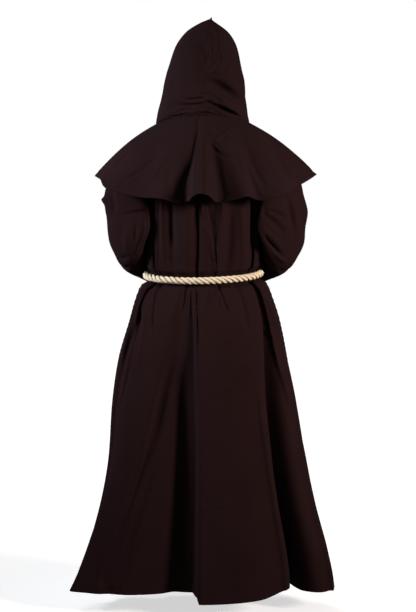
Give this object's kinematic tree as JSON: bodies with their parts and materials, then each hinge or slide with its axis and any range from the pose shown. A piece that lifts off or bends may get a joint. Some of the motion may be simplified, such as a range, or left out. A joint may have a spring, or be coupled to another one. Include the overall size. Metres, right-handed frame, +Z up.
{
  "type": "monk costume",
  "caption": "Worn-shape hooded robe with shoulder cape, wide bent sleeves, flared floor-length skirt and a knotted rope belt; empty inside, open at face, cuffs and hem.",
  "frame": {"origin": "middle of the shoulder line, where a wearer or hanger holds the costume up", "axes": "+Z up, the costume faces -Y so its back is at +Y, +X towards the wearer's left"},
  "size_m": [0.8288, 0.5118, 1.8014],
  "materials": {
    "robe_cloth": "matte dark brown twill",
    "hood_cloth": "matte dark brown twill",
    "rope": "soft cream laid rope"
  },
  "bodies": {
    "root": {"robe_back_left": "robe_cloth", "robe_back_right": "robe_cloth", "robe_front": "robe_cloth", "sleeve_left": "robe_cloth", "sleeve_right": "robe_cloth", "cape_left": "hood_cloth", "cape_right": "hood_cloth", "hood_left": "hood_cloth", "hood_right": "hood_cloth", "belt_rope": "rope", "belt_knot": "rope", "belt_tail_left": "rope", "belt_tail_right": "rope"}
  },
  "joints": []
}
